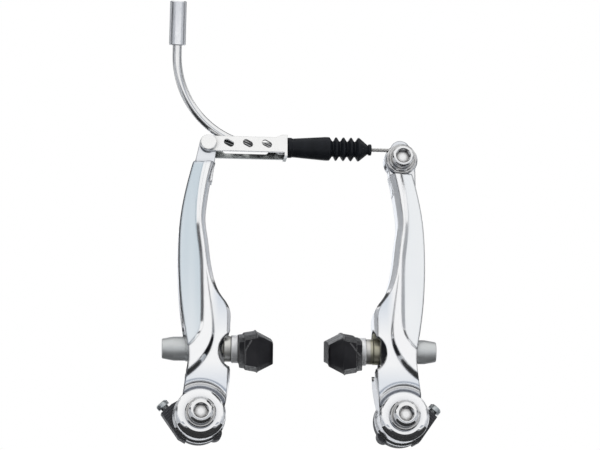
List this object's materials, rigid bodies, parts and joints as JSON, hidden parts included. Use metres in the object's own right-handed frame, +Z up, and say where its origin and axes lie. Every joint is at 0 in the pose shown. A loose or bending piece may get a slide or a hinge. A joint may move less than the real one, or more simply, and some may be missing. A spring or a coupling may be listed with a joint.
{
  "type": "v brake",
  "caption": "Linear-pull rim brake: paired forged arms on boss pivots, rubber pads on ball washers, a perforated link, a bent cable noodle and a bellows boot.",
  "frame": {"origin": "halfway between the two pivot axes, on the plane where the bushes stand on the frame's bosses", "axes": "+X to the viewer's right, +Y back along the pivot bolts to the bicycle's frame, +Z up from the pivots to the cable"},
  "size_m": [0.113, 0.058, 0.1752],
  "materials": {
    "polished_alloy": "polished",
    "plain_steel": "satin",
    "bright_steel": "bright plated",
    "black_plastic": "moulded",
    "spring_steel": "drawn wire",
    "pad_rubber": "matt",
    "yellow_zinc": "yellow plated",
    "grey_zinc": "turned, grey plated",
    "liner_plastic": "smooth",
    "satin_alloy": "satin",
    "boot_rubber": "moulded",
    "cable_steel": "stranded wire"
  },
  "bodies": {
    "boss_mount": {"left_pivot_bush": "plain_steel", "left_pivot_bolt": "bright_steel", "left_bolt_washer": "bright_steel", "left_spring_housing": "black_plastic", "left_anchor_pin": "plain_steel", "right_pivot_bush": "plain_steel", "right_pivot_bolt": "bright_steel", "right_bolt_washer": "bright_steel", "right_spring_housing": "black_plastic", "right_anchor_pin": "plain_steel"},
    "left_arm": {"left_arm": "polished_alloy", "left_return_spring": "spring_steel", "left_spring_stop": "plain_steel", "left_pad": "pad_rubber", "left_pad_post": "plain_steel", "left_pad_spacer": "bright_steel", "left_inner_dome": "yellow_zinc", "left_inner_cup": "yellow_zinc", "left_outer_dome": "yellow_zinc", "left_outer_cup": "yellow_zinc", "left_pad_nut": "grey_zinc", "link_pin": "bright_steel"},
    "right_arm": {"right_arm": "polished_alloy", "right_return_spring": "spring_steel", "right_spring_stop": "plain_steel", "right_pad": "pad_rubber", "right_pad_post": "plain_steel", "right_pad_spacer": "bright_steel", "right_inner_dome": "yellow_zinc", "right_inner_cup": "yellow_zinc", "right_outer_dome": "yellow_zinc", "right_outer_cup": "yellow_zinc", "right_pad_nut": "grey_zinc", "clamp_plate": "bright_steel", "clamp_washer": "bright_steel", "clamp_bolt": "bright_steel"},
    "link": {"link": "bright_steel"},
    "noodle": {"noodle_tube": "bright_steel", "noodle_liner": "liner_plastic", "noodle_head": "satin_alloy", "noodle_collar": "bright_steel", "cable_boot": "boot_rubber"},
    "cable": {"inner_cable": "cable_steel"},
    "left_screw": {"left_tension_screw": "plain_steel"},
    "right_screw": {"right_tension_screw": "plain_steel"}
  },
  "joints": [
    {"name": "left_arm_pivot", "type": "hinge", "parent": "boss_mount", "child": "left_arm", "pos_m": [-0.04, -0.012, 0], "axis": [0, 1, 0], "range_deg": [0, 5], "stiffness_Nm_per_rad": 1.2, "springref_deg": -20.05, "deforming": ["left_return_spring", "cable_boot"]},
    {"name": "right_arm_pivot", "type": "hinge", "parent": "boss_mount", "child": "right_arm", "pos_m": [0.04, -0.012, 0], "axis": [0, -1, 0], "range_deg": [0, 5], "stiffness_Nm_per_rad": 1.2, "springref_deg": -20.05, "deforming": ["right_return_spring"]},
    {"name": "link_pivot", "type": "hinge", "parent": "left_arm", "child": "link", "pos_m": [-0.0378, -0.012, 0.1095], "axis": [0, -1, 0], "range_deg": [0, 5]},
    {"name": "cable_flex", "type": "hinge", "parent": "right_arm", "child": "cable", "pos_m": [0.0403, -0.012, 0.1095], "axis": [0, 1, 0], "range_deg": [0, 5], "deforming": ["inner_cable"]},
    {"name": "noodle_swivel", "type": "hinge", "parent": "link", "child": "noodle", "pos_m": [-0.0066, -0.012, 0.1095], "axis": [-1, 0, 0], "range_deg": [0, 40]},
    {"name": "left_tension_turn", "type": "hinge", "parent": "boss_mount", "child": "left_screw", "pos_m": [-0.05275, -0.0034, 0.0034], "axis": [-0.6598, 0, 0.7514], "continuous": true},
    {"name": "right_tension_turn", "type": "hinge", "parent": "boss_mount", "child": "right_screw", "pos_m": [0.05275, -0.0034, 0.0034], "axis": [0.6598, 0, 0.7514], "continuous": true}
  ],
  "couplings": [
    {"joint": "right_arm_pivot", "follows": "left_arm_pivot", "ratio": 1},
    {"joint": "link_pivot", "follows": "left_arm_pivot", "ratio": 1},
    {"joint": "cable_flex", "follows": "left_arm_pivot", "ratio": 1}
  ]
}
